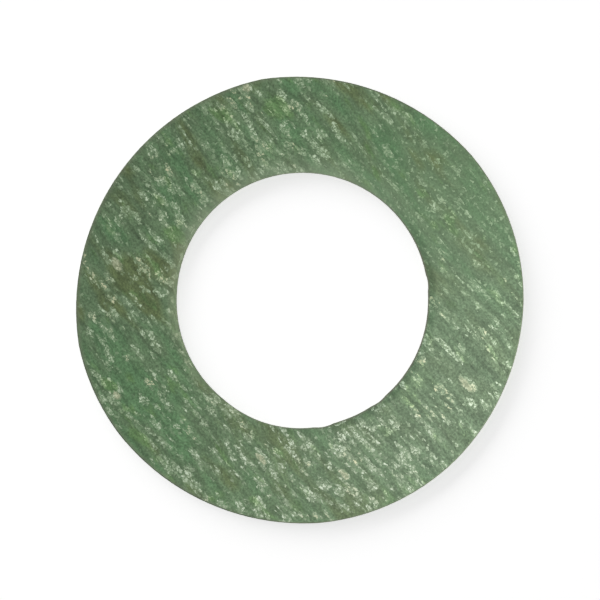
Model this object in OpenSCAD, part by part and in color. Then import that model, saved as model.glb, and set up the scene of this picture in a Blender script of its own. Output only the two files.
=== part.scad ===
// Fibre ring gasket for a DN 50 pipe flange, cut by hand from compressed fibre sheet.
// Sizes are in millimetres. Z is the bore's axis, and the lower face lies on z = 0.

/* [Sheet] */
// Thickness of the sheet
sheet_t = 2; // [1:0.1:4]

/* [Rim] */
// Diameter of the disc as the shears rough it out
disc_d = 107.8; // [95:0.1:130]
// Where the disc's centre lies from the bore's axis, along X and along Y
disc_drift = [-0.85, 0.2]; // [-2:0.05:2]
// Directions, in degrees from X, in which the shears cut inside the disc
bite_dirs = [78, 141, 246, 337]; // [0:1:360]
// Depth to which they cut into the disc there
bite_depths = [0.65, 1.35, 0.35, 0.2]; // [0.05:0.05:2]
// How much flatter than the disc these cuts are, as an increase of its radius
bite_flatness = 2.5; // [0.5:0.1:6]
// Width and height by which the shears crush the rim's upper edge
rim_crush = 0.25; // [0.05:0.05:0.8]

/* [Bore] */
// Diameter of the hollow punch that cuts the bore
punch_d = 60.3; // [40:0.1:80]
// Distance between the punch's two strikes, which leaves the bore longer than it is wide
strike_gap = 0.7; // [0.1:0.1:1]
// Direction from one strike to the other, in degrees from X
strike_dir = 88; // [60:1:120]

/* [Slope of the bore's left wall] */
// How far the wall slopes outward at the upper face, where the punch leaned
lean = 1; // [0.2:0.1:2]
// Height of the upright part of the wall below the slope
lean_foot = 0.45; // [0.2:0.05:0.8]

/* [Knife trims of the bore] */
// Directions, in degrees from X, in which the knife cut past the punched edge: three nicks and one long slip
trim_dirs = [8, 279, 307, 260]; // [0:1:360]
// Depth to which it cut past the edge there
trim_depths = [0.2, 0.4, 0.2, 0.35]; // [0.05:0.05:1]
// Radius of each cut, as a share of the punch's radius
trim_bends = [0.27, 0.27, 0.27, 0.92]; // [0.1:0.01:0.97]

/* [Hidden] */

$fn = 180;
disc_r = disc_d / 2;
punch_r = punch_d / 2;
// Cutters reach this far past the faces they cut through
overcut = 1;
cut_h = sheet_t + 2 * overcut;
// Outward run of the sloping wall for each millimetre of height
lean_rate = lean / (sheet_t - lean_foot);

// Point at distance r from the axis in direction a
function polar(r, a) = [r * cos(a), r * sin(a)];

// Distance of the punched edge from the axis in direction a
function punched_edge(a) = punch_r + strike_gap / 2 * abs(cos(a - strike_dir));

// A disc of the sheet with its upper edge crushed to a bevel
module sheared_disc(r) {
    cylinder(h = sheet_t - rim_crush, r = r);
    translate([0, 0, sheet_t - rim_crush]) cylinder(h = rim_crush, r1 = r, r2 = r - rim_crush);
}

// The disc, less what lies outside the flatter arc of each bite
module trimmed_disc()
    translate(disc_drift)
        intersection() {
            sheared_disc(disc_r);
            intersection_for(i = [0 : len(bite_dirs) - 1])
                translate(-polar(bite_flatness + bite_depths[i], bite_dirs[i]))
                    sheared_disc(disc_r + bite_flatness);
        }

// The two strikes of the punch, side by side
module punched_bore()
    for (side = [-1, 1])
        translate(polar(side * strike_gap / 2, strike_dir))
            translate([0, 0, -overcut]) cylinder(h = cut_h, r = punch_r);

// What the leaning punch slices off the left wall: a cone that meets the wall at the foot's height
module leaning_slice()
    translate([-lean, 0, -overcut])
        cylinder(
            h = cut_h,
            r1 = punch_r - lean_rate * (sheet_t + overcut),
            r2 = punch_r + lean_rate * overcut
        );

// The knife's arcs, each of which passes the punched edge by its own depth
module knife_trims()
    for (i = [0 : len(trim_dirs) - 1]) {
        r = punch_r * trim_bends[i];
        translate(polar(punched_edge(trim_dirs[i]) + trim_depths[i] - r, trim_dirs[i]))
            translate([0, 0, -overcut]) cylinder(h = cut_h, r = r);
    }

module gasket()
    color("#6e8364")
        difference() {
            trimmed_disc();
            punched_bore();
            leaning_slice();
            knife_trims();
        }

gasket();
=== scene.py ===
"""Looks of the fibre ring gasket: a hand-cut ring of compressed fibre sheet, lying flat on a white table."""

import math

import bpy
from bpy.props import FloatProperty, FloatVectorProperty, IntProperty, PointerProperty
from mathutils import Matrix, Vector


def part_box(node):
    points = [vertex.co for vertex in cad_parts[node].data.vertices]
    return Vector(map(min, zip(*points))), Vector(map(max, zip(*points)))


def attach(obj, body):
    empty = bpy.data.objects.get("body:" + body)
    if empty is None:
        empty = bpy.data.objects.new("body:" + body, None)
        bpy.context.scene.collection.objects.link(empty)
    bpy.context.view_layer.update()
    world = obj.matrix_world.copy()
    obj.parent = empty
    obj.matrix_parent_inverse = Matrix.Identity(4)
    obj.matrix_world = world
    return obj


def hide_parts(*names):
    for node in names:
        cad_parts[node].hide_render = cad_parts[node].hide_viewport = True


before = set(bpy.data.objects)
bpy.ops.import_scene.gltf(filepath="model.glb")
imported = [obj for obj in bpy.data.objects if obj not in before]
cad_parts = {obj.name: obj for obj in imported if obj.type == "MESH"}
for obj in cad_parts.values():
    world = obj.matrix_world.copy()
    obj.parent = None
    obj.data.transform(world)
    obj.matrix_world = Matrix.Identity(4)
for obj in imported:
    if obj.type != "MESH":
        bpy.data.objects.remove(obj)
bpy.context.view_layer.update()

bl_info = {
    "name": "Fibre Ring Gasket",
    "version": (1, 0, 0),
    "blender": (4, 5, 0),
    "location": "View3D > Sidebar > Gasket",
    "description": "Dresses the packed ring gasket as compressed fibre sheet and sets its stage",
    "category": "Object",
}

NODE = "gasket"
RING = "fibre_ring"
SHEET_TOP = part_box(NODE)[1].z
RIM_REACH = max(abs(value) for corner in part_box(NODE) for value in corner)

MM = 0.001

# The map for baking, and the attributes that mark the worn bands, the painted light and shade, and the walls
BAKE_MAP = "OFBake"
# Wear of the cut edges, with a band of painted light beside one side of the rim
WORN_AND_LIT = "worn_edge"
TORN = "torn_band"
# Band of painted shade beside one side of the bore
BORE_SHADE = "pressed_band"
# Band of painted light beside another side of the bore
BORE_LIGHT = "rubbed_band"
WALL = "wall"
# What the last of these holds on the rim's wall and on the bore's
RIM_WALL, BORE_WALL = 2.0, 1.0

# Great flakes: place in x and y, then length along and width across the streaks, in millimetres
GREAT_FLAKES = (
    (-13.3, 50.8, 2.9, 2.0),
    (39.0, -20.4, 5.6, 1.9),
    (-9.9, -38.1, 4.2, 1.6),
    (-44.4, 8.8, 4.5, 2.2),
    (-44.3, -22.4, 3.0, 1.8),
    (10.4, -41.9, 3.4, 1.7),
)
# In each list of patches: place in x and y and radius, in millimetres, then how far a level rises there
# Patches of fresh green, or of olive where the level sinks
TINT_PATCHES = (
    (-41.0, -25.0, 25.0, 0.18),
    (-39.0, 3.0, 15.0, -0.2),
    (-8.0, 42.0, 24.0, 0.02),
    (26.0, 34.0, 26.0, 0.03),
    (-5.0, -40.0, 17.0, -0.12),
    (-50.5, -10.5, 13.0, 0.2),
    (-24.5, 34.0, 11.0, 0.06),
    (24.0, 42.0, 13.0, 0.1),
    (-13.5, -48.5, 10.0, 0.12),
    (-36.5, -8.5, 10.0, -0.1),
    (-49.5, 9.5, 8.0, -0.12),
    (-32.5, -41.0, 10.0, 0.09),
    (-26.0, -20.5, 8.0, -0.1),
)
# Patches where the sheet and its flakes turn leaf green
LEAF_PATCHES = (
    (-18.8, 45.7, 6.0, 0.2),
    (-6.3, 45.3, 6.0, 0.2),
    (-19.3, 32.8, 5.0, 0.18),
    (27.5, -19.7, 6.0, 0.24),
    (25.8, -25.2, 7.0, 0.2),
    (-45.6, -20.6, 4.0, 0.2),
    (-40.0, -33.3, 4.0, 0.18),
    (-36.2, -24.5, 6.0, 0.12),
    (-29.6, 15.6, 5.0, 0.2),
)
# Parts where the sheet is duller
DULL_PATCHES = (
    (58.0, -6.0, 30.0, -0.1),
    (46.0, -38.0, 30.0, -0.12),
)
# Parts with more flakes
RICH_PATCHES = (
    (-13.0, 38.0, 19.0, 0.1),
    (8.0, 33.0, 10.0, 0.08),
    (20.0, -38.0, 20.0, 0.03),
    (36.0, -22.0, 18.0, 0.05),
)
# Parts where more flakes are beige
WARM_PATCHES = ((-41.0, 6.0, 18.0, 0.16),)

# Where each random pattern starts, so that no two of them are alike
TINT_START, LEAF_START, WARM_START = 31.9, 47.3, 61.7
MOTTLE_START, FIBRE_START, PIT_START = 11.3, 3.7, 17.9
CLUMP_START, BED_START, CRUMB_START, SPECK_START = 23.7, 7.1, 3.3, 5.9
# How much finer the patterns are through the sheet than across the streaks
FINER_THROUGH = 1.5
# Noise swings round this level
NOISE_MIDDLE = 0.5

# Tint levels up to which the sheet is olive, between which it is green and from which it is fresh
OLIVE_TO, GREEN_FROM, GREEN_TO, FRESH_FROM = 0.34, 0.47, 0.52, 0.66
# Leaf levels at which the sheet begins to turn leaf green and at which it is greenest, and how far it turns
LEAF_FROM, LEAF_TO, LEAF_DEPTH = 0.57, 0.74, 0.75
# How far the sheet turns grey in the middle of its greyer side, a painted sheen
SHEEN_DEPTH = 0.9
# How far the mottle and the fibres lighten and darken the sheet
MOTTLE_DEPTH, FIBRE_DEPTH = 0.7, 0.92
# Clump levels at which flakes begin to show and at which they are thickest
CLUMP_FROM, CLUMP_TO = 0.28, 0.73
# Share of the quiet side's radius within which it is quietest
QUIET_CORE = 0.3
# How far the clumps sink on the quiet side, and what is left of the mottle and of the flakes there
QUIET_DROP, QUIET_SHADE, QUIET_FLAKES = 0.15, 0.6, 0.7
# Distances from the middle of a bed's cell at which the bed is full and at which it ends, in cells
BED_CORE, BED_EDGE = 0.35, 0.75
# The same for a great flake, in half its length and width
GREAT_CORE, GREAT_EDGE = 0.6, 1.1
# How strong a great flake is between its crumbs, and how far it turns tan and its crumbs beige
GREAT_BODY, GREAT_TAN = 0.5, 0.55
# Distances from the sides of a crumb's cell at which the crumb begins and at which it is full, in cells
CRUMB_SIDE, CRUMB_FULL = 0.02, 0.16
# The same for a speck, the share of the cells that hold one, also on the quiet side, and its strength
SPECK_SIDE, SPECK_FULL, SPECK_SHARE, QUIET_SPECKS, SPECK_STRENGTH = 0.06, 0.22, 0.3, 0.3, 0.5
# Factors on the share of the cells that hold a bed, and a crumb in a bed and outside the beds
BED_SHARE, CRUMBS_IN_BED, CRUMBS_STREWN = 1.1, 1.05, 0.27
# Range of chances over which what a cell holds fades in
CHANCE_FADE = 0.22
# How much fainter than others a crumb can be
CRUMB_SPREAD = 0.45
# Fibre levels between which the pits in a flake fill up, and what is left of it in a pit
PIT_FROM, PIT_TO, PIT_FLOOR = 0.385, 0.555, 0.4
# Strength of the pale veil round the clumps and in the beds
CLUMP_VEIL, BED_VEIL = 0.05, 0.14
# Levels of warmth at which the flakes begin to turn beige and at which they are beige
WARM_FROM, WARM_TO = 0.58, 0.7
# Strength up to which a flake counts as thin
THIN_FLAKE = 0.5
# Shares of the flakes and of the mottle in the relief
FLAKE_RISE, MOTTLE_RISE = 0.6, 0.4

# Relief between which the torn band and the bore's painted light grow stronger, and their strengths there
TORN_RELIEF, TORN_STRENGTH = (0.1, 0.5), (0.15, 0.75)
BORE_LIGHT_RELIEF, BORE_LIGHT_STRENGTH = (0.1, 0.4), (0.22, 0.55)
# Wear from which an edge shows the cut's colour, and how far it takes it on
# The band of painted light beside the rim takes the cut's colour in the same way
WEAR_FROM, WEAR_DEPTH = 0.2, 0.62
# Roughness of the sheet and of its flakes, then gloss and strength of the bump
FACE_ROUGHNESS, FACE_GLOSS, FACE_BUMP = (0.62, 0.8), 0.22, 0.6
# The same for the cut edge, from its dark layers to its pale ones, with the depth of its bump in millimetres
CUT_ROUGHNESS, CUT_GLOSS, CUT_BUMP, CUT_DEPTH = (0.75, 0.92), 0.2, 0.7, 0.06
# Layers of the cut edge: how many there are in a metre, the noise levels between which they turn pale, and
# their shades
LAYER_COUNT, LAYER_LEVELS, LAYER_SHADES = (300.0, 300.0, 4500.0), (0.3, 0.7), (0.7, 1.25)
# How much the pattern is squeezed through the sheet on a cut edge, and its share in the colour there
CUT_SQUEEZE, CUT_PATTERN = 3.0, 0.3

# Points closer than this are one
MERGE_REACH = 1e-6
# Shares of the thickness between which the walls are found, just inside the faces, and at which the lower
# edges are
WALL_FOOT, WALL_BROW, EDGE_LEVEL = 0.002, 0.998, 0.05
# Widths after which the torn band and the band of painted shade beside the bore have faded
TORN_FADE, BORE_SHADE_FADE = 2.0, 1.9
# Cosines of the angle from a band's own side at which the band begins and at which it is full
BORE_SHADE_LOBE, BORE_LIGHT_LOBE, RIM_LIGHT_LOBE = (-0.1, 0.9), (0.2, 0.7), (-0.5, 0.5)
# Margins of the bake's map, round the ring and along its section
MAP_MARGIN_AROUND, MAP_MARGIN_ALONG = 0.01, 0.005
# Bends from this angle on stay sharp
SHARP_BEND = math.radians(35)
# Steepest upward part of its normal with which a wall still counts as upright
UPRIGHT = 0.35

# White of the table, its distance below the ring in millimetres, and how far the camera sees in metres
TABLE_WHITE, TABLE_GAP, CAMERA_REACH = (0.9, 0.9, 0.9, 1.0), 0.02, 100.0


def from_hex(text):
    """Linear colour of a screen colour written as six hex digits."""
    channels = [int(text[i : i + 2], 16) / 255 for i in (0, 2, 4)]
    return [c / 12.92 if c <= 0.04045 else ((c + 0.055) / 1.055) ** 2.4 for c in channels]


def length(name, description, millimetres):
    """A property that holds one length."""
    return FloatProperty(
        name=name, description=description, default=millimetres * MM, unit="LENGTH", precision=6
    )


def lengths(name, description, *millimetres):
    """A property that holds a place, or a size in two directions."""
    return FloatVectorProperty(
        name=name,
        description=description,
        size=len(millimetres),
        default=[value * MM for value in millimetres],
        unit="LENGTH",
        precision=6,
    )


def direction(name, description, degrees):
    """A property that holds one angle."""
    return FloatProperty(name=name, description=description, default=math.radians(degrees), subtype="ANGLE")


def power(name, description, watts):
    """A property that holds the power of a lamp."""
    return FloatProperty(name=name, description=description, default=watts, unit="POWER")


def colour(name, description, text):
    """A property that holds one colour."""
    return FloatVectorProperty(
        name=name, description=description, size=3, default=from_hex(text), subtype="COLOR", min=0, max=1
    )


class SheetLook(bpy.types.PropertyGroup):
    """Colours and pattern of the fibre sheet. A grain has a size along and one across the streaks."""

    streak_angle: direction("Streaks", "Direction in which the rolls drew the fibres out, from X", -49.5)
    drift_size: length("Drift size", "Distance over which the streaks swing to and fro", 26)
    drift_reach: length("Drift reach", "How far the streaks swing aside", 2.2)
    tint_size: lengths("Tint patches", "Grain of the fresh and olive patches", 18, 6)
    leaf_size: lengths("Leaf patches", "Grain of the leaf green patches", 7, 3)
    warm_size: lengths("Warm patches", "Grain of the patches in which the flakes are beige", 9, 5)
    mottle_size: lengths("Mottle", "Grain of the light and dark mottle", 6.4, 1.55)
    fibre_size: lengths("Fibres", "Grain of the finest fibres", 0.57, 0.52)
    clump_size: lengths("Clumps", "Grain of the clumps in which the flakes lie", 10, 1.7)
    bed_size: lengths("Beds", "Grain of the cells that hold the beds of crumbs", 3.4, 1.5)
    crumb_size: lengths("Crumbs", "Grain of the cells that hold the crumbs of pale fibre", 1.1, 0.66)
    speck_size: lengths("Specks", "Grain of the cells that hold the fine specks", 0.75, 0.6)
    ragged_size: length("Ragged size", "Size of the notches in a flake's outline", 0.75)
    ragged_reach: length("Ragged reach", "Depth of the notches in a flake's outline", 0.75)
    quiet_centre: lengths("Quiet side", "Middle of the part of the ring that shows few flakes", 33, 26)
    quiet_radius: length("Quiet radius", "How far the part with few flakes reaches", 38)
    # Painted sheen: the sheet turns greyer round this side
    sheen_centre: lengths("Sheen side", "Middle of the greyer part of the ring", 36, -24)
    sheen_radius: length("Sheen radius", "How far the greyer part reaches", 68)
    # Painted sheen: the flakes turn paler and greyer round this side
    sheened_centre: lengths("Bleached side", "Middle of the painted sheen on the flakes", 12, -46)
    sheened_radius: length("Bleached radius", "How far the painted sheen on the flakes reaches", 75)
    fresh: colour("Fresh", "Colour of the fresh green patches", "567653")
    green: colour("Green", "Colour of the sheet between its patches", "5c7355")
    olive: colour("Olive", "Colour of the brown-green patches", "5b6a46")
    # Colour of the painted sheen on the greyer side
    grey: colour("Grey", "Colour of the greyer side", "60725a")
    leaf: colour("Leaf", "Colour of the leaf green patches", "5c7c4d")
    leaf_flake: colour("Leaf flake", "Colour of the thin flakes in the leaf green patches", "8fab7a")
    leaf_cream: colour("Leaf cream", "Colour of the thick flakes in the leaf green patches", "bed5a8")
    flake: colour("Flake", "Colour of the thin flakes", "8da382")
    # Thin flakes under the painted sheen
    sheened_flake: colour("Bleached flake", "Colour of the thin flakes under the painted sheen", "94a389")
    cream: colour("Cream", "Colour of the thick flakes", "c3d5b8")
    # Thick flakes under the painted sheen
    sheened: colour("Sheened", "Colour of the thick flakes under the painted sheen", "c8d3bf")
    beige: colour("Beige", "Colour of the thick flakes in the warm patches", "d0cfa9")
    tan: colour("Tan", "Colour of the great flakes between their crumbs", "aaaa8c")
    torn: colour("Torn", "Colour of the band that the leaning wall has torn", "98a182")
    # Painted shade beside one side of the bore
    bore_shade: colour("Bore shade", "Painted shade beside one side of the bore", "d2dad5")
    # Painted shadow along the bore's edge on the side of the painted shade
    edge_shadow: colour("Edge shadow", "Painted shadow along the bore's edge on its shaded side", "55554a")
    cut: colour("Cut edge", "Colour of the cut edges", "757e68")
    relief: length("Relief", "Height of the flakes above the sheet between them", 0.035)


class RingBuild(bpy.types.PropertyGroup):
    """Mesh fineness, cut edges' roughness, and bands of wear and of painted light and shade beside them."""

    around: IntProperty(name="Steps around", description="Steps round the ring", default=720, min=16)
    face_rows: IntProperty(name="Face rows", description="Rows across a face", default=52, min=2)
    wall_rows: IntProperty(name="Wall rows", description="Rows down a cut edge", default=8, min=2)
    ragged: length("Raggedness", "How far the cut edges wander in and out", 0.05)
    ragged_size: length("Ragged size", "Length of one nick in a cut edge", 0.9)
    wear_width: length("Wear width", "How far the cut has worn the faces beside it", 0.35)
    torn_width: length("Torn width", "Width of the band that the leaning wall has torn", 1.3)
    # Band of painted shade beside one side of the bore
    bore_shade_width: length("Pressed width", "Width of the band of painted shade beside the bore", 1.2)
    bore_shade_turn: direction("Pressed side", "Direction in which the painted shade beside the bore is darkest, from X", -20)
    # Band of painted light beside another side of the bore
    bore_light_width: length("Rubbed width", "Width of the band of painted light beside the bore", 4.6)
    bore_light_turn: direction("Rubbed side", "Direction in which the painted light beside the bore is strongest, from X", 105)
    # Band of painted light beside one side of the rim
    rim_light_width: length("Scuffed width", "Width of the band of painted light beside the rim", 1.4)
    rim_light_turn: direction("Scuffed side", "Direction in which the painted light beside the rim is strongest, from X", 170)


class StageLook(bpy.types.PropertyGroup):
    """Table, lamps and camera."""

    frame_width: length("Frame width", "Width of the picture at the upper face", 143.77)
    frame_centre: lengths("Frame centre", "Point of the ring in the middle of the picture", -0.57, -0.023)
    camera_height: length("Camera height", "Height of the camera above the table", 1000)
    table_size: length("Table size", "Width of the white table", 6000)
    table_glow: FloatProperty(
        name="Table glow", description="Brightness of the table itself, for the camera", default=0.711
    )
    sky: FloatProperty(name="Sky", description="Strength of the even light from all sides", default=0.078)
    key_distance: length("Key distance", "Distance of the wide lamp and of the upper lamp", 5000)
    key_turn: direction("Key turn", "Direction of the wide lamp and of the upper lamp from X", 135)
    key_rise: direction("Key rise", "Height of the wide lamp above the table", 19)
    key_size: lengths("Key size", "Width and height of the wide lamp, which casts the shadow", 12200, 2000)
    key_power: power("Key power", "Power of the wide lamp", 249)
    high_rise: direction("High rise", "Height of the upper lamp above the table", 50)
    high_size: lengths("High size", "Width and height of the upper lamp, for a soft shadow", 7000, 2000)
    high_power: power("High power", "Power of the upper lamp", 21)
    fill_place: lengths("Fill place", "Place of the small lamp over the ring's near side", 133, -62, 140)
    fill_size: lengths("Fill size", "Width and height of the small lamp", 120, 120)
    fill_power: power("Fill power", "Power of the small lamp", 0.45)


class Nodes:
    """Adds nodes to one tree and joins them, in a shader tree and in a geometry tree alike."""

    def __init__(self, tree):
        self.tree = tree

    def add(self, kind, inputs=None, **settings):
        """A new node with its settings made and its inputs filled, by their name or number."""
        node = self.tree.nodes.new(kind)
        for name, value in settings.items():
            setattr(node, name, value)
        for key, value in (inputs or {}).items():
            self.feed(node.inputs[key], value)
        return node

    def feed(self, socket, value):
        """Links a socket to an output, or sets its value."""
        if isinstance(value, bpy.types.NodeSocket):
            self.tree.links.new(value, socket)
        else:
            socket.default_value = value

    def on_mesh(self, kind, mesh, inputs=None, **settings):
        """The mesh after a new node that takes it by its first input and hands it on."""
        return self.add(kind, {0: mesh, **(inputs or {})}, **settings).outputs[0]

    def math(self, operation, a, b=0.0):
        return self.add("ShaderNodeMath", {0: a, 1: b}, operation=operation).outputs[0]

    def vector(self, operation, a, b=(0, 0, 0)):
        return self.add("ShaderNodeVectorMath", {0: a, 1: b}, operation=operation).outputs["Vector"]

    def scaled(self, vector, factor):
        node = self.add("ShaderNodeVectorMath", {0: vector, "Scale": factor}, operation="SCALE")
        return node.outputs["Vector"]

    def distance(self, a, b):
        return self.add("ShaderNodeVectorMath", {0: a, 1: b}, operation="DISTANCE").outputs["Value"]

    def combine(self, x=0.0, y=0.0, z=0.0):
        return self.add("ShaderNodeCombineXYZ", {"X": x, "Y": y, "Z": z}).outputs[0]

    def separate(self, vector):
        return self.add("ShaderNodeSeparateXYZ", {0: vector}).outputs

    def ramp(self, value, low, high, first=0.0, last=1.0, smooth=False):
        """The value, moved from low..high to first..last and held there."""
        node = self.add("ShaderNodeMapRange", {0: value, 1: low, 2: high, 3: first, 4: last})
        node.interpolation_type = "SMOOTHSTEP" if smooth else "LINEAR"
        return node.outputs[0]

    def noise(self, vector, detail=0.0, roughness=0.5):
        return self.add(
            "ShaderNodeTexNoise", {"Vector": vector, "Scale": 1.0, "Detail": detail, "Roughness": roughness}
        ).outputs

    def swing(self, vector, detail, roughness=0.5):
        """Noise that points to all sides of its place."""
        return self.vector("SUBTRACT", self.noise(vector, detail, roughness)["Color"], (NOISE_MIDDLE,) * 3)

    def mix(self, factor, a, b, blend="MIX"):
        node = self.add("ShaderNodeMix", data_type="RGBA", blend_type=blend)
        self.feed(node.inputs[0], factor)
        for socket, value in ((node.inputs[6], a), (node.inputs[7], b)):
            self.feed(socket, value if isinstance(value, bpy.types.NodeSocket) else (*value, 1.0))
        return node.outputs[2]

    def shaded(self, painted, shade):
        """The colour, lightened or darkened by a shade."""
        return self.mix(1.0, painted, self.combine(shade, shade, shade), "MULTIPLY")


class FibreFields:
    """The sheet's pattern as fields: the shader colours the sheet with it and the geometry raises it."""

    def __init__(self, nodes, position, look):
        self.n = nodes
        self.look = look
        self.position = position
        self.streaks = self.drawn_out()

    def drawn_out(self):
        """The position, turned so that its first axis runs along the streaks, and swung aside with them."""
        n, look = self.n, self.look
        turn = {"Vector": self.position, "Angle": -look.streak_angle}
        turned = n.add("ShaderNodeVectorRotate", turn, rotation_type="Z_AXIS").outputs[0]
        swing = n.swing(n.scaled(turned, 1 / look.drift_size), detail=1.0)
        reach = (look.drift_reach, 2 * look.drift_reach, 0)
        return n.vector("ADD", turned, n.vector("MULTIPLY", swing, reach))

    def spot(self, place, size, start):
        """A place in grains of a size along and one across the streaks. Each pattern has its own start."""
        n = self.n
        along, across = size
        # The faces lie a sheet's thickness apart, and a finer grain through it keeps them from looking alike
        through = across / FINER_THROUGH
        place = n.vector("MULTIPLY", place, (1 / along, 1 / across, 1 / through))
        return n.vector("ADD", place, (start, 2 * start, 3 * start))

    def layer(self, size, start, detail=0.0, roughness=0.5):
        """Noise in grains of the given size."""
        return self.n.noise(self.spot(self.streaks, size, start), detail, roughness)[0]

    def near(self, centre, radius, inner=0.0):
        """Weight of a place on the sheet: 1 inside the inner radius, 0 from the outer one on."""
        n = self.n
        flat = n.vector("MULTIPLY", self.position, (1, 1, 0))
        return n.ramp(n.distance(flat, (*centre, 0)), inner, radius, 1.0, 0.0, smooth=True)

    def patched(self, level, patches):
        """The level, raised or lowered round the places in a list."""
        n = self.n
        for x, y, radius, rise in patches:
            patch = n.math("MULTIPLY", self.near((x * MM, y * MM), radius * MM), rise)
            level = n.math("ADD", level, patch)
        return level

    def quiet(self):
        """Weight of the side on which the sheet shows little."""
        return self.near(self.look.quiet_centre, self.look.quiet_radius, QUIET_CORE * self.look.quiet_radius)

    def tint(self):
        """Level that turns the sheet from olive through green to fresh."""
        return self.patched(self.layer(self.look.tint_size, TINT_START, detail=2.0), TINT_PATCHES)

    def leaf(self):
        """How far the sheet and its flakes turn leaf green."""
        level = self.patched(self.layer(self.look.leaf_size, LEAF_START, detail=2.0), LEAF_PATCHES)
        return self.n.ramp(level, LEAF_FROM, LEAF_TO, 0.0, LEAF_DEPTH, smooth=True)

    def warm(self):
        """How far the thick flakes turn beige."""
        level = self.patched(self.layer(self.look.warm_size, WARM_START), WARM_PATCHES)
        return self.n.ramp(level, WARM_FROM, WARM_TO)

    def mottle(self):
        return self.layer(self.look.mottle_size, MOTTLE_START, detail=3.0, roughness=0.6)

    def cells(self, spot, share):
        """Cells: how surely each holds something, a chance for each, and the distance from its middle. The
        share says how many of them hold something."""
        n = self.n
        cell = n.add("ShaderNodeTexVoronoi", {"Vector": spot, "Scale": 1.0}).outputs
        chances = n.separate(cell["Color"])
        present = n.ramp(n.math("SUBTRACT", share, chances["X"]), 0.0, CHANCE_FADE)
        return present, chances["Y"], cell["Distance"]

    def crumbs(self, spot, share, side, full):
        """Angular crumbs that fill as many of the cells as the share says, some of them fainter."""
        n = self.n
        present, chance, _ = self.cells(spot, share)
        strength = n.math("MULTIPLY", present, n.ramp(chance, 0.0, 1.0, 1.0, 1.0 - CRUMB_SPREAD))
        sides = n.add("ShaderNodeTexVoronoi", {"Vector": spot, "Scale": 1.0}, feature="DISTANCE_TO_EDGE")
        return n.math("MULTIPLY", strength, n.ramp(sides.outputs["Distance"], side, full, smooth=True))

    def placed_flakes(self, place):
        """The few great flakes that stand out on the ring's upper face."""
        n, look = self.n, self.look
        flakes = None
        for x, y, along, across in GREAT_FLAKES:
            centre = Matrix.Rotation(-look.streak_angle, 3, "Z") @ Vector((x * MM, y * MM, SHEET_TOP))
            off = n.vector("SUBTRACT", place, centre)
            off = n.vector("MULTIPLY", off, (2 / (along * MM), 2 / (across * MM), 1 / SHEET_TOP))
            inside = n.ramp(n.distance(off, (0, 0, 0)), GREAT_CORE, GREAT_EDGE, 1.0, 0.0, smooth=True)
            flakes = n.math("MAXIMUM", flakes, inside) if flakes else inside
        return flakes

    def ragged(self):
        """The place along the streaks, notched so that the outlines of the flakes are ragged."""
        n, look = self.n, self.look
        notch = n.swing(n.scaled(self.streaks, 1 / look.ragged_size), detail=2.0, roughness=0.7)
        notch = n.scaled(notch, 2 * look.ragged_reach)
        return n.vector("ADD", self.streaks, n.vector("MULTIPLY", notch, (1, 1, 0)))

    def flakes(self):
        """How strongly a point belongs to a flake, the veil round it, and the great flakes. The flakes are
        crumbs, packed in long ragged beds that lie in clumps and strewn thinly outside them."""
        n, look = self.n, self.look
        quiet = self.quiet()
        clumps = self.layer(look.clump_size, CLUMP_START, detail=1.0)
        clumps = n.math("SUBTRACT", clumps, n.math("MULTIPLY", quiet, QUIET_DROP))
        share = n.ramp(self.patched(clumps, RICH_PATCHES), CLUMP_FROM, CLUMP_TO)

        ragged = self.ragged()
        bed_spot = self.spot(ragged, look.bed_size, BED_START)
        present, _, middle = self.cells(bed_spot, n.math("MULTIPLY", share, BED_SHARE))
        beds = n.math("MULTIPLY", present, n.ramp(middle, BED_CORE, BED_EDGE, 1.0, 0.0, smooth=True))
        great = self.placed_flakes(ragged)
        beds = n.math("MAXIMUM", beds, great)

        strewn = n.math("MULTIPLY", share, CRUMBS_STREWN)
        crumb_share = n.math("MAXIMUM", n.math("MULTIPLY", beds, CRUMBS_IN_BED), strewn)
        crumb_spot = self.spot(ragged, look.crumb_size, CRUMB_START)
        crumbs = self.crumbs(crumb_spot, crumb_share, CRUMB_SIDE, CRUMB_FULL)
        flakes = n.math("MAXIMUM", crumbs, n.math("MULTIPLY", great, GREAT_BODY))

        # Pits between the fibres, and specks of loose fibre
        fibres = self.layer(look.fibre_size, PIT_START, detail=1.0, roughness=0.6)
        pits = n.ramp(fibres, PIT_FROM, PIT_TO, PIT_FLOOR, 1.0, smooth=True)
        pits = n.math("MULTIPLY", pits, n.ramp(quiet, 0.0, 1.0, 1.0, QUIET_FLAKES))
        quiet_specks = n.ramp(quiet, 0.0, 1.0, 0.0, QUIET_SPECKS)
        speck_share = n.math("MAXIMUM", quiet_specks, n.math("MULTIPLY", share, SPECK_SHARE))
        speck_spot = self.spot(ragged, look.speck_size, SPECK_START)
        specks = self.crumbs(speck_spot, speck_share, SPECK_SIDE, SPECK_FULL)
        specks = n.math("MULTIPLY", specks, SPECK_STRENGTH)
        flakes = n.math("MAXIMUM", n.math("MULTIPLY", flakes, pits), specks)
        veil = n.math("MAXIMUM", n.math("MULTIPLY", share, CLUMP_VEIL), n.math("MULTIPLY", beds, BED_VEIL))
        return flakes, veil, great

    def height(self, mottle, flakes):
        """Relief from 0, between the flakes, to 1, on the thickest of them."""
        n = self.n
        return n.math("ADD", n.math("MULTIPLY", flakes, FLAKE_RISE), n.math("MULTIPLY", mottle, MOTTLE_RISE))


def add_socket(tree, name, kind, in_out="INPUT"):
    return tree.interface.new_socket(name=name, in_out=in_out, socket_type=kind)


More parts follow.
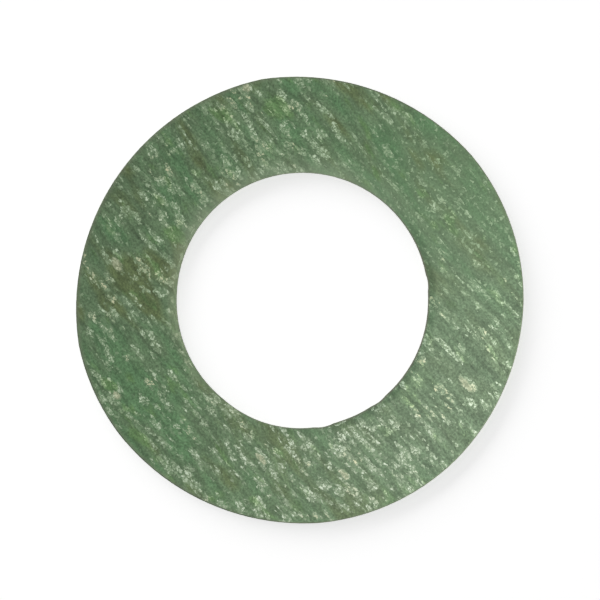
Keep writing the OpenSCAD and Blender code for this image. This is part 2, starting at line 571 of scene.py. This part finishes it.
def sheet_colour(fields, leaf, mottle):
    """Colour of the sheet between its flakes: its patches, shaded by the mottle and the fibres."""
    n, look = fields.n, fields.look
    tint = fields.tint()
    base = n.mix(n.ramp(tint, OLIVE_TO, GREEN_FROM), look.olive, look.green)
    base = n.mix(n.ramp(tint, GREEN_TO, FRESH_FROM), base, look.fresh)
    base = n.mix(leaf, base, look.leaf)
    # Painted sheen: the sheet turns greyer round one side
    grey = fields.near(look.sheen_centre, look.sheen_radius)
    base = n.mix(n.math("MULTIPLY", grey, SHEEN_DEPTH), base, look.grey)

    fibres = fields.layer(look.fibre_size, FIBRE_START, detail=2.0, roughness=0.7)
    shade = n.math(
        "MULTIPLY",
        n.ramp(mottle, 0.0, 1.0, 1 - MOTTLE_DEPTH, 1 + MOTTLE_DEPTH),
        n.ramp(fibres, 0.0, 1.0, 1 - FIBRE_DEPTH, 1 + FIBRE_DEPTH),
    )
    depth = n.ramp(fields.quiet(), 0.0, 1.0, 1.0, QUIET_SHADE)
    shade = n.math("ADD", n.math("MULTIPLY", n.math("SUBTRACT", shade, 1.0), depth), 1.0)
    return n.shaded(base, fields.patched(shade, DULL_PATCHES))


def flake_colours(fields, leaf, great):
    """Colours of the thin flakes and of the thick ones."""
    n, look = fields.n, fields.look
    tanned = n.math("MULTIPLY", great, GREAT_TAN)
    warm = n.math("MAXIMUM", fields.warm(), tanned)
    # Painted sheen: the flakes turn paler and greyer round one side
    sheened = fields.near(look.sheened_centre, look.sheened_radius)
    thin = n.mix(tanned, n.mix(sheened, look.flake, look.sheened_flake), look.tan)
    thick = n.mix(warm, n.mix(sheened, look.cream, look.sheened), look.beige)
    return n.mix(leaf, thin, look.leaf_flake), n.mix(leaf, thick, look.leaf_cream)


def fibre_pattern_group(look):
    """Shader group that paints the fibre sheet: its colour, its flakes and its relief at a point."""
    tree = bpy.data.node_groups.new("Fibre pattern", "ShaderNodeTree")
    add_socket(tree, "Position", "NodeSocketVector")
    add_socket(tree, "Color", "NodeSocketColor", "OUTPUT")
    add_socket(tree, "Flakes", "NodeSocketFloat", "OUTPUT")
    add_socket(tree, "Height", "NodeSocketFloat", "OUTPUT")
    n = Nodes(tree)
    fields = FibreFields(n, n.add("NodeGroupInput").outputs["Position"], look)
    leaf = fields.leaf()
    mottle = fields.mottle()
    flakes, veil, great = fields.flakes()
    thin, thick = flake_colours(fields, leaf, great)
    painted = n.mix(veil, sheet_colour(fields, leaf, mottle), thin)
    painted = n.mix(n.ramp(flakes, 0.0, THIN_FLAKE), painted, thin)
    painted = n.mix(n.ramp(flakes, THIN_FLAKE, 1.0), painted, thick)
    height = fields.height(mottle, flakes)
    n.add("NodeGroupOutput", {"Color": painted, "Flakes": flakes, "Height": height})
    return tree


def empty_nodes(owner):
    """The emptied node tree of a material or a world."""
    owner.use_nodes = True
    owner.node_tree.nodes.clear()
    return Nodes(owner.node_tree)


def new_material(name):
    """A material with the helper and the Principled shader of its tree."""
    material = bpy.data.materials.new(name)
    n = empty_nodes(material)
    shader = n.add("ShaderNodeBsdfPrincipled")
    n.add("ShaderNodeOutputMaterial", {"Surface": shader.outputs[0]})
    return material, n, shader


def place_pattern(n, group, position):
    """The pattern's outputs at a position."""
    return n.add("ShaderNodeGroup", node_tree=group, inputs={"Position": position}).outputs


def face_material(group, look):
    """The rolled face: the fibre pattern, worn beside the edges, with bands of painted light and shade."""
    material, n, shader = new_material("Rolled fibre face")
    pattern = place_pattern(n, group, n.add("ShaderNodeTexCoord").outputs["Object"])
    marks = [n.add("ShaderNodeAttribute", attribute_name=name) for name in (TORN, BORE_SHADE, WORN_AND_LIT, BORE_LIGHT)]
    torn, bore_shade, worn, bore_light = (mark.outputs["Fac"] for mark in marks)
    frayed = n.math("MULTIPLY", torn, n.ramp(pattern["Height"], *TORN_RELIEF, *TORN_STRENGTH))
    painted = n.mix(frayed, pattern["Color"], look.torn)
    # Painted light: the flakes beside one side of the bore turn paler
    bore_light = n.math("MULTIPLY", bore_light, n.ramp(pattern["Height"], *BORE_LIGHT_RELIEF, *BORE_LIGHT_STRENGTH))
    painted = n.mix(bore_light, painted, look.sheened_flake)
    # Painted shade beside one side of the bore
    painted = n.mix(bore_shade, painted, look.bore_shade, "MULTIPLY")
    # The worn mark also holds the painted light beside one side of the rim
    painted = n.mix(n.ramp(worn, WEAR_FROM, 1.0, 0.0, WEAR_DEPTH), painted, look.cut)
    # Painted shadow: a dark line along the bore's edge inside the painted shade
    painted = n.mix(n.math("MULTIPLY", worn, bore_shade), painted, look.edge_shadow)
    n.feed(shader.inputs["Base Color"], painted)
    n.feed(shader.inputs["Roughness"], n.ramp(pattern["Flakes"], 0.0, 1.0, *FACE_ROUGHNESS))
    shader.inputs["Specular IOR Level"].default_value = FACE_GLOSS
    relief = {"Height": pattern["Height"], "Strength": FACE_BUMP, "Distance": look.relief}
    n.feed(shader.inputs["Normal"], n.add("ShaderNodeBump", relief).outputs[0])
    return material


def cut_material(group, look):
    """The cut edge: fibre ends in layers, squeezed together through the sheet."""
    material, n, shader = new_material("Cut fibre edge")
    position = n.add("ShaderNodeTexCoord").outputs["Object"]
    pattern = place_pattern(n, group, n.vector("MULTIPLY", position, (1.0, 1.0, CUT_SQUEEZE)))
    layers = n.noise(n.vector("MULTIPLY", position, LAYER_COUNT), detail=2.0)[0]
    ends = n.mix(CUT_PATTERN, look.cut, pattern["Color"])
    n.feed(shader.inputs["Base Color"], n.shaded(ends, n.ramp(layers, *LAYER_LEVELS, *LAYER_SHADES)))
    n.feed(shader.inputs["Roughness"], n.ramp(layers, *LAYER_LEVELS, *CUT_ROUGHNESS))
    shader.inputs["Specular IOR Level"].default_value = CUT_GLOSS
    bump = n.add("ShaderNodeBump", {"Height": layers, "Strength": CUT_BUMP, "Distance": CUT_DEPTH * MM})
    n.feed(shader.inputs["Normal"], bump.outputs[0])
    return material


# Named inputs of the ring's tree by their kind
RING_INPUTS = {
    "NodeSocketGeometry": ("Solid",),
    "NodeSocketInt": ("Steps around", "Face rows", "Wall rows"),
    "NodeSocketFloat": (
        "Thickness",
        "Relief",
        "Raggedness",
        "Ragged size",
        "Wear width",
        "Torn width",
        "Pressed width",
        "Pressed side",
        "Rubbed width",
        "Rubbed side",
        "Scuffed width",
        "Scuffed side",
    ),
    "NodeSocketMaterial": ("Face", "Cut edge"),
}


class RingFields:
    """The sheet's section, swept round the solid's own walls, as fields on a unit grid. Its x runs round the
    ring, its y along the section: up the bore, over the upper face, down the rim and back below."""

    def __init__(self, nodes, given):
        self.n = n = nodes
        self.given = given
        self.solid = n.on_mesh("GeometryNodeMergeByDistance", given["Solid"], {"Distance": MERGE_REACH})
        self.bore_top = given["Wall rows"]
        self.rim_top = n.math("ADD", self.bore_top, given["Face rows"])
        self.rim_foot = n.math("ADD", self.rim_top, given["Wall rows"])
        self.rows = n.math("MULTIPLY", self.rim_top, 2.0)
        place = n.separate(n.add("GeometryNodeInputPosition").outputs[0])
        self.turn = n.math("ADD", place["X"], 0.5)
        self.row = n.math("MULTIPLY", n.math("ADD", place["Y"], 0.5), self.rows)
        self.angle = n.math("MULTIPLY", self.turn, math.tau)
        self.around = n.combine(n.math("COSINE", self.angle), n.math("SINE", self.angle))
        self.rise = self.up_and_down(0.0, self.bore_top, self.rim_top, self.rim_foot)

        # The walls, found on the solid just inside its faces
        self.level = self.at_share(n.ramp(self.rise, 0.0, 1.0, WALL_FOOT, WALL_BROW))
        bore = self.bore_radius(self.level)
        width = n.math("SUBTRACT", self.rim_radius(self.level), bore)
        across = self.up_and_down(self.bore_top, self.rim_top, self.rim_foot, self.rows)
        self.radius = n.math("ADD", bore, n.math("MULTIPLY", across, width))

        # How far a point lies from the lower edges of the bore and of the rim
        edge_level = self.at_share(EDGE_LEVEL)
        self.bore_edge = self.bore_radius(edge_level)
        self.to_bore = n.math("SUBTRACT", self.radius, self.bore_edge)
        self.to_rim = n.math("SUBTRACT", self.rim_radius(edge_level), self.radius)
        to_edge = n.math("MINIMUM", self.to_bore, self.to_rim)
        self.worn = n.ramp(to_edge, 0.0, given["Wear width"], 1.0, 0.0)

    def up_and_down(self, foot, top, end, back):
        """A value that goes from 0 to 1 between two rows and back to 0 between two later ones."""
        n = self.n
        return n.math("SUBTRACT", n.ramp(self.row, foot, top), n.ramp(self.row, end, back))

    def at_share(self, share):
        """Height at a share of the sheet's thickness."""
        return self.n.math("MULTIPLY", share, self.given["Thickness"])

    def reach(self, start, way):
        """Distance from a start to the solid."""
        rays = {"Target Geometry": self.solid, "Source Position": start, "Ray Direction": way}
        rays["Ray Length"] = 3 * RIM_REACH
        return self.n.add("GeometryNodeRaycast", rays).outputs["Hit Distance"]

    def bore_radius(self, height):
        """Distance from the axis to the bore's wall at a height."""
        return self.reach(self.n.combine(z=height), self.around)

    def rim_radius(self, height):
        """Distance from the axis to the rim's wall at a height, found from outside."""
        n = self.n
        start = n.vector("ADD", n.combine(z=height), n.scaled(self.around, 2 * RIM_REACH))
        return n.math("SUBTRACT", 2 * RIM_REACH, self.reach(start, n.scaled(self.around, -1.0)))

    def band(self, distance, width, fade, side, lobe, smooth=False):
        """A band beside an edge that is strongest on one side of the ring. It fades from the width times the
        first number to the width times the second."""
        n = self.n
        near, far = (n.math("MULTIPLY", self.given[width], share) for share in fade)
        faced = n.math("COSINE", n.math("SUBTRACT", self.angle, self.given[side]))
        return n.math("MULTIPLY", n.ramp(distance, near, far, 1.0, 0.0, smooth), n.ramp(faced, *lobe))

    def torn(self):
        """The torn band beside the bore, where the wall leans back from its lower edge."""
        n, width = self.n, self.given["Torn width"]
        lean = n.math("SUBTRACT", self.bore_radius(self.at_share(WALL_BROW)), self.bore_edge)
        beside = n.ramp(self.to_bore, width, n.math("MULTIPLY", width, TORN_FADE), 1.0, 0.0)
        return n.math("MULTIPLY", n.ramp(lean, 0.0, width), beside)

    def marks(self):
        """The worn bands of the faces and their bands of painted light and shade, by their attributes'
        names.
        """
        # Painted light beside one side of the rim, stored with the wear of the edges
        rim_light = self.band(self.to_rim, "Scuffed width", (0.0, 1.0), "Scuffed side", RIM_LIGHT_LOBE)
        fade = (1.0, BORE_SHADE_FADE)
        return {
            WORN_AND_LIT: self.n.math("MAXIMUM", self.worn, rim_light),
            TORN: self.torn(),
            # Band of painted shade beside one side of the bore
            BORE_SHADE: self.band(self.to_bore, "Pressed width", fade, "Pressed side", BORE_SHADE_LOBE, True),
            # Band of painted light beside another side of the bore
            BORE_LIGHT: self.band(self.to_bore, "Rubbed width", (0.0, 1.0), "Rubbed side", BORE_LIGHT_LOBE),
        }

    def surface(self, look):
        """Each point's place: nicked at the cut edges, and sunk between the flakes of both faces."""
        n, given = self.n, self.given
        place = n.vector("ADD", n.scaled(self.around, self.radius), n.combine(z=self.level))
        grain = n.math("DIVIDE", 1.0, given["Ragged size"])
        nick = n.noise(n.scaled(place, grain), detail=2.0, roughness=0.7)[0]
        nick = n.math("MULTIPLY", n.math("SUBTRACT", nick, NOISE_MIDDLE), self.worn)
        nick = n.math("MULTIPLY", nick, n.math("MULTIPLY", given["Raggedness"], 2.0))
        flat = n.scaled(self.around, n.math("ADD", self.radius, nick))

        height = self.at_share(self.rise)
        fields = FibreFields(n, n.vector("ADD", flat, n.combine(z=height)), look)
        sunk = n.math("SUBTRACT", 1.0, fields.height(fields.mottle(), fields.flakes()[0]))
        sunk = n.math("MULTIPLY", sunk, given["Relief"])
        inward = n.ramp(self.rise, 0.0, 1.0, 1.0, -1.0)
        height = n.math("ADD", height, n.math("MULTIPLY", sunk, inward))
        return n.vector("ADD", flat, n.combine(z=height))

    def of_face(self, value):
        """The mean of a value over each face."""
        node = self.n.add("GeometryNodeFieldOnDomain", {0: value}, data_type="FLOAT", domain="FACE")
        return node.outputs[0]

    def bake_map(self):
        """Place on the bake's map: the ring unrolled into two half turns, one above the other."""
        n = self.n
        strip = n.math("GREATER_THAN", self.of_face(self.turn), 0.5)
        u = n.math("SUBTRACT", n.math("MULTIPLY", self.turn, 2.0), strip)
        u = n.ramp(u, 0.0, 1.0, MAP_MARGIN_AROUND, 1.0 - MAP_MARGIN_AROUND)
        v = n.ramp(n.math("DIVIDE", self.row, self.rows), 0.0, 1.0, MAP_MARGIN_ALONG, 0.5 - MAP_MARGIN_ALONG)
        return n.combine(u, n.math("ADD", v, n.math("MULTIPLY", strip, 0.5)))

    def walls(self):
        """Marks of the rim's and of the bore's wall, and 0 on the faces."""
        n = self.n
        row = self.of_face(self.row)
        on_rim = n.math("GREATER_THAN", row, self.rim_top)
        on_rim = n.math("MULTIPLY", on_rim, n.math("LESS_THAN", row, self.rim_foot))
        on_bore = n.math("LESS_THAN", row, self.bore_top)
        return n.math("ADD", n.math("MULTIPLY", on_rim, RIM_WALL), n.math("MULTIPLY", on_bore, BORE_WALL))


def store(n, mesh, name, value, data_type="FLOAT", domain="POINT"):
    """The mesh with a value stored under a name."""
    inputs = {"Name": name, "Value": value}
    return n.on_mesh("GeometryNodeStoreNamedAttribute", mesh, inputs, data_type=data_type, domain=domain)


def ring_tree(look):
    """Geometry Nodes that sweep the sheet's section round the solid's walls and raise the fibres on it."""
    tree = bpy.data.node_groups.new("Fibre ring", "GeometryNodeTree")
    add_socket(tree, "Geometry", "NodeSocketGeometry", "OUTPUT")
    for kind, names in RING_INPUTS.items():
        for name in names:
            add_socket(tree, name, kind)
    n = Nodes(tree)
    given = n.add("NodeGroupInput").outputs
    fields = RingFields(n, given)

    steps = {
        "Vertices X": n.math("ADD", given["Steps around"], 1.0),
        "Vertices Y": n.math("ADD", fields.rows, 1.0),
    }
    mesh = n.add("GeometryNodeMeshGrid", {"Size X": 1.0, "Size Y": 1.0, **steps}).outputs["Mesh"]
    mesh = store(n, mesh, BAKE_MAP, fields.bake_map(), "FLOAT2", "CORNER")
    for name, mark in fields.marks().items():
        mesh = store(n, mesh, name, mark)
    mesh = store(n, mesh, WALL, fields.walls(), domain="FACE")
    mesh = n.on_mesh("GeometryNodeSetPosition", mesh, {"Position": fields.surface(look)})
    mesh = n.on_mesh("GeometryNodeMergeByDistance", mesh, {"Distance": MERGE_REACH})
    # Wrapped round the ring, the grid's faces look inward
    mesh = n.on_mesh("GeometryNodeFlipFaces", mesh)

    # Sharp where the walls meet the faces
    bend = n.add("GeometryNodeInputMeshEdgeAngle").outputs["Unsigned Angle"]
    is_smooth = n.math("LESS_THAN", bend, SHARP_BEND)
    mesh = n.on_mesh("GeometryNodeSetShadeSmooth", mesh, {"Shade Smooth": is_smooth}, domain="EDGE")
    mesh = n.on_mesh("GeometryNodeRealizeInstances", mesh)
    mesh = n.on_mesh("GeometryNodeSetMaterial", mesh, {"Material": given["Face"]})

    # Cut edge: the whole rim, and the bore where its wall stands upright
    wall = n.add("GeometryNodeInputNamedAttribute", {"Name": WALL}, data_type="FLOAT").outputs[0]
    upward = n.math("ABSOLUTE", n.separate(n.add("GeometryNodeInputNormal").outputs[0])["Z"])
    upright = n.math("LESS_THAN", upward, UPRIGHT)
    is_cut = n.math("GREATER_THAN", n.math("ADD", wall, upright), (RIM_WALL + BORE_WALL) / 2)
    mesh = n.on_mesh("GeometryNodeSetMaterial", mesh, {"Selection": is_cut, "Material": given["Cut edge"]})
    n.add("NodeGroupOutput", {"Geometry": mesh})
    return tree


def swept_mesh(name, tree, start, values):
    """Plain mesh that a geometry tree makes from a starting mesh and its named inputs."""
    maker = bpy.data.objects.new(name, start)
    bpy.context.scene.collection.objects.link(maker)
    modifier = maker.modifiers.new("Ring", "NODES")
    modifier.node_group = tree
    for item in tree.interface.items_tree:
        if item.in_out == "INPUT" and item.name in values:
            modifier[item.identifier] = values[item.name]
    evaluated = maker.evaluated_get(bpy.context.evaluated_depsgraph_get())
    mesh = bpy.data.meshes.new_from_object(evaluated)
    bpy.data.objects.remove(maker)
    bpy.data.meshes.remove(start)
    mesh.name = name
    return mesh


class GASKET_OT_ring(bpy.types.Operator):
    """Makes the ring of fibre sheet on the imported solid"""

    bl_idname = "gasket.make_ring"
    bl_label = "Make ring"

    def execute(self, context):
        look = context.scene.gasket_sheet
        build = context.scene.gasket_ring
        group = fibre_pattern_group(look)
        mesh = swept_mesh(
            RING,
            ring_tree(look),
            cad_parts[NODE].data.copy(),
            {
                "Steps around": build.around,
                "Face rows": build.face_rows,
                "Wall rows": build.wall_rows,
                "Thickness": SHEET_TOP,
                "Relief": look.relief,
                "Raggedness": build.ragged,
                "Ragged size": build.ragged_size,
                "Wear width": build.wear_width,
                "Torn width": build.torn_width,
                "Pressed width": build.bore_shade_width,
                "Pressed side": build.bore_shade_turn,
                "Rubbed width": build.bore_light_width,
                "Rubbed side": build.bore_light_turn,
                "Scuffed width": build.rim_light_width,
                "Scuffed side": build.rim_light_turn,
                "Face": face_material(group, look),
                "Cut edge": cut_material(group, look),
            },
        )
        ring = bpy.data.objects.new(RING, mesh)
        context.scene.collection.objects.link(ring)
        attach(ring, "root")
        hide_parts(NODE)
        return {"FINISHED"}


def area_lamp(name, place, size, watts):
    """A soft lamp, out of the camera's sight, that points at the middle of the ring."""
    light = bpy.data.lights.new(name, "AREA")
    light.shape = "ELLIPSE"
    light.size, light.size_y = size
    light.energy = watts
    lamp = bpy.data.objects.new(name, light)
    lamp.visible_camera = False
    lamp.location = place
    lamp.rotation_euler = (-Vector(place)).to_track_quat("-Z", "Y").to_euler()
    bpy.context.scene.collection.objects.link(lamp)
    return lamp


def on_key_side(stage, rise):
    """Place of a lamp on the key's side of the table, at an angle above it."""
    flat = stage.key_distance * math.cos(rise)
    return (
        flat * math.cos(stage.key_turn),
        flat * math.sin(stage.key_turn),
        stage.key_distance * math.sin(rise),
    )


def seen(n):
    """1 where the camera looks, straight, in a mirror or through glass, and 0 for all other light."""
    path = n.add("ShaderNodeLightPath").outputs
    passed_on = n.math("MAXIMUM", path["Is Glossy Ray"], path["Is Transmission Ray"])
    return n.math("MAXIMUM", path["Is Camera Ray"], passed_on)


def table_material(glow):
    """White table: a share of its brightness is its own, for the eye alone. The rest takes the shadow."""
    material = bpy.data.materials.new("White table")
    n = empty_nodes(material)
    own = n.add("ShaderNodeEmission", {"Strength": n.math("MULTIPLY", seen(n), glow)})
    lit = n.add("ShaderNodeBsdfDiffuse", {"Color": TABLE_WHITE})
    both = n.add("ShaderNodeAddShader", {0: own.outputs[0], 1: lit.outputs[0]})
    n.add("ShaderNodeOutputMaterial", {"Surface": both.outputs[0]})
    return material


def white_world(strength):
    """Even light from all sides, with white behind the table for the eye."""
    world = bpy.data.worlds.new("Studio")
    n = empty_nodes(world)
    brightness = n.ramp(seen(n), 0.0, 1.0, strength, 1.0)
    light = n.add("ShaderNodeBackground", {"Color": (1, 1, 1, 1), "Strength": brightness})
    n.add("ShaderNodeOutputWorld", {"Surface": light.outputs[0]})
    return world


def lay_table(scene, stage):
    """The white table just below the ring."""
    half = stage.table_size / 2
    drop = -TABLE_GAP * MM
    mesh = bpy.data.meshes.new("table")
    corners = [(-half, -half, drop), (half, -half, drop), (half, half, drop), (-half, half, drop)]
    mesh.from_pydata(corners, [], [(0, 1, 2, 3)])
    mesh.materials.append(table_material(stage.table_glow))
    table = bpy.data.objects.new("table", mesh)
    scene.collection.objects.link(table)


def set_lamps(scene, stage):
    """The wide lamp, the upper one, the small one that lights the ring alone, and the even light."""
    area_lamp("Key", on_key_side(stage, stage.key_rise), stage.key_size, stage.key_power)
    area_lamp("High", on_key_side(stage, stage.high_rise), stage.high_size, stage.high_power)
    fill = area_lamp("Fill", stage.fill_place, stage.fill_size, stage.fill_power)
    lit_by_fill = bpy.data.collections.new("Lit by the fill")
    lit_by_fill.objects.link(bpy.data.objects[RING])
    fill.light_linking.receiver_collection = lit_by_fill
    scene.world = white_world(stage.sky)


def set_camera(scene, stage):
    """The camera straight above the ring."""
    data = bpy.data.cameras.new("Camera")
    data.lens = data.sensor_width * (stage.camera_height - SHEET_TOP) / stage.frame_width
    data.clip_end = CAMERA_REACH
    camera = bpy.data.objects.new("Camera", data)
    camera.location = (*stage.frame_centre, stage.camera_height)
    scene.collection.objects.link(camera)
    scene.camera = camera


class GASKET_OT_stage(bpy.types.Operator):
    """Sets the table, the lamps and the camera"""

    bl_idname = "gasket.make_stage"
    bl_label = "Make stage"

    def execute(self, context):
        scene = context.scene
        stage = scene.gasket_stage
        lay_table(scene, stage)
        set_lamps(scene, stage)
        set_camera(scene, stage)
        scene.view_settings.view_transform = "Standard"
        return {"FINISHED"}


class GASKET_PT_panel(bpy.types.Panel):
    """Sizes and colours of the gasket, and the buttons that make it"""

    bl_idname = "GASKET_PT_panel"
    bl_label = "Fibre ring gasket"
    bl_space_type = "VIEW_3D"
    bl_region_type = "UI"
    bl_category = "Gasket"

    def draw(self, context):
        for holder, operator in (
            (context.scene.gasket_sheet, None),
            (context.scene.gasket_ring, GASKET_OT_ring),
            (context.scene.gasket_stage, GASKET_OT_stage),
        ):
            box = self.layout.box()
            for name in holder.__annotations__:
                box.prop(holder, name)
            if operator:
                box.operator(operator.bl_idname)


CLASSES = (SheetLook, RingBuild, StageLook, GASKET_OT_ring, GASKET_OT_stage, GASKET_PT_panel)


def register():
    for cls in CLASSES:
        bpy.utils.register_class(cls)
    bpy.types.Scene.gasket_sheet = PointerProperty(type=SheetLook)
    bpy.types.Scene.gasket_ring = PointerProperty(type=RingBuild)
    bpy.types.Scene.gasket_stage = PointerProperty(type=StageLook)


def unregister():
    del bpy.types.Scene.gasket_stage
    del bpy.types.Scene.gasket_ring
    del bpy.types.Scene.gasket_sheet
    for cls in reversed(CLASSES):
        bpy.utils.unregister_class(cls)


def main():
    register()
    bpy.ops.gasket.make_ring()
    bpy.ops.gasket.make_stage()


if __name__ == "__main__":
    main()
